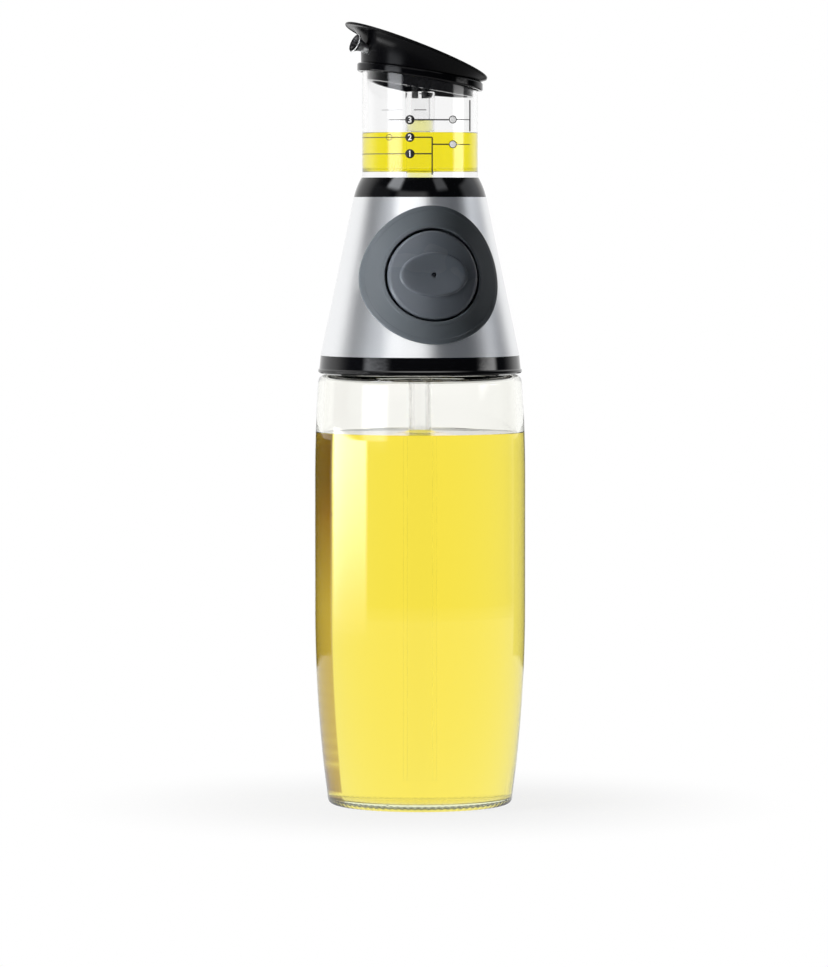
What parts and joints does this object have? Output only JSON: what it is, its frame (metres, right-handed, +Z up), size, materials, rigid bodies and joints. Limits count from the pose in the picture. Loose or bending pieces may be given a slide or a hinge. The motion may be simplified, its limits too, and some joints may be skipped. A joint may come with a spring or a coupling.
{
  "type": "oil bottle",
  "caption": "Clear glass cooking oil bottle with a screw-on conical pump head, round press button, clear measuring chamber with a riser, and a slanted lid with a spout.",
  "frame": {"origin": "centre of the bottle's base ring, on the surface it stands on", "axes": "+Z up along the bottle's axis, the button faces -Y and the spout points to -X"},
  "size_m": [0.0752, 0.0752, 0.2792],
  "materials": {
    "glass": "clear and glossy",
    "oil": "clear yellow liquid",
    "black_plastic": "glossy black",
    "dark_grey_plastic": "satin",
    "grey_plastic": "satin",
    "satin_silver": "satin silver paint",
    "clear_plastic": "clear and glossy",
    "inner_plastic": "plain moulded",
    "silicone": "matte",
    "spring_steel": "drawn wire",
    "bright_steel": "polished"
  },
  "bodies": {
    "bottle": {"glass_bottle": "glass", "bottle_oil": "oil"},
    "gasket": {"neck_gasket": "silicone"},
    "pump_head": {"screw_collar": "black_plastic", "dip_tube": "clear_plastic", "air_valve": "silicone", "silver_cone": "satin_silver", "button_bezel": "dark_grey_plastic", "pump_frame": "inner_plastic", "air_diaphragm": "silicone", "diaphragm_clamp": "inner_plastic", "return_spring": "spring_steel", "upper_ring": "black_plastic", "riser_seal": "silicone", "measuring_chamber": "clear_plastic", "chamber_oil": "oil", "riser_crown": "black_plastic"},
    "button": {"press_button": "grey_plastic"},
    "lid": {"lid_seal": "silicone", "lid_base": "black_plastic", "lid_cover": "black_plastic", "pour_spout": "bright_steel"}
  },
  "joints": [
    {"name": "head_lift", "type": "slide", "parent": "bottle", "child": "gasket", "axis": [0, 0, 1], "range_m": [0, 0.005]},
    {"name": "head_unscrew", "type": "hinge", "parent": "gasket", "child": "pump_head", "pos_m": [0, 0, 0.159], "axis": [0, 0, 1], "range_deg": [0, 451]},
    {"name": "button_press", "type": "slide", "parent": "pump_head", "child": "button", "axis": [0, 0.9785, -0.2064], "range_m": [0, 0.005], "stiffness_N_per_m": 2000, "springref_m": -0.002, "deforming": ["return_spring", "air_diaphragm"]},
    {"name": "lid_lift", "type": "slide", "parent": "pump_head", "child": "lid", "axis": [0, 0, 1], "range_m": [0, 0.025]}
  ],
  "couplings": [
    {"joint": "head_unscrew", "follows": "head_lift", "rad_per_m": 1570.8}
  ]
}
